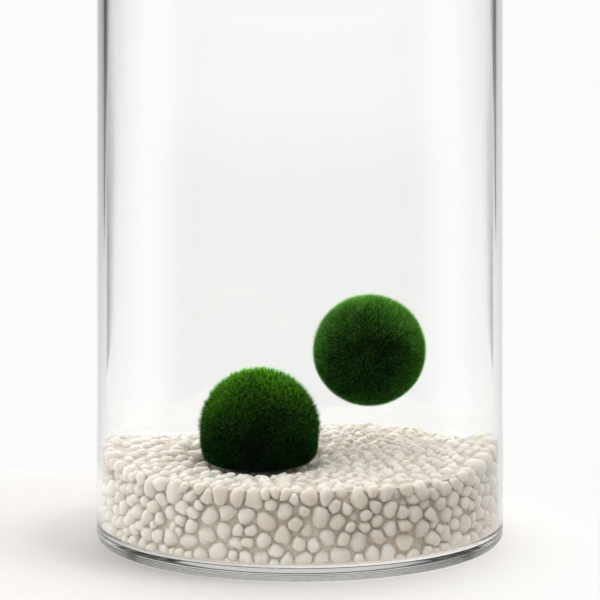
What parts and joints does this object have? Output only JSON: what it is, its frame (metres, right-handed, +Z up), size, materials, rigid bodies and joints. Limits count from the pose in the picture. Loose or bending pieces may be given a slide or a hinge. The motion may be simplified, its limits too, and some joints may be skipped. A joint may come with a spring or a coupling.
{
  "type": "moss balls in a glass jar",
  "caption": "Round green moss balls in a straight glass jar of water over a bed of pale pebbles, one resting and one floating.",
  "frame": {"origin": "middle of the jar's underside, on the surface it stands on", "axes": "+Z up along the jar's axis, -Y towards the front, where the resting ball is left of the floating one"},
  "size_m": [0.12, 0.12, 0.2],
  "materials": {
    "glass": "clear, polished",
    "pebble": "matt, tumbled smooth",
    "dark_moss": "fine wet filaments",
    "bright_moss": "fine wet filaments",
    "water": "clear, still"
  },
  "bodies": {
    "root": {"glass_jar": "glass", "pebble_bed": "pebble", "resting_moss_ball": "dark_moss", "floating_moss_ball": "bright_moss", "water": "water"}
  },
  "joints": []
}
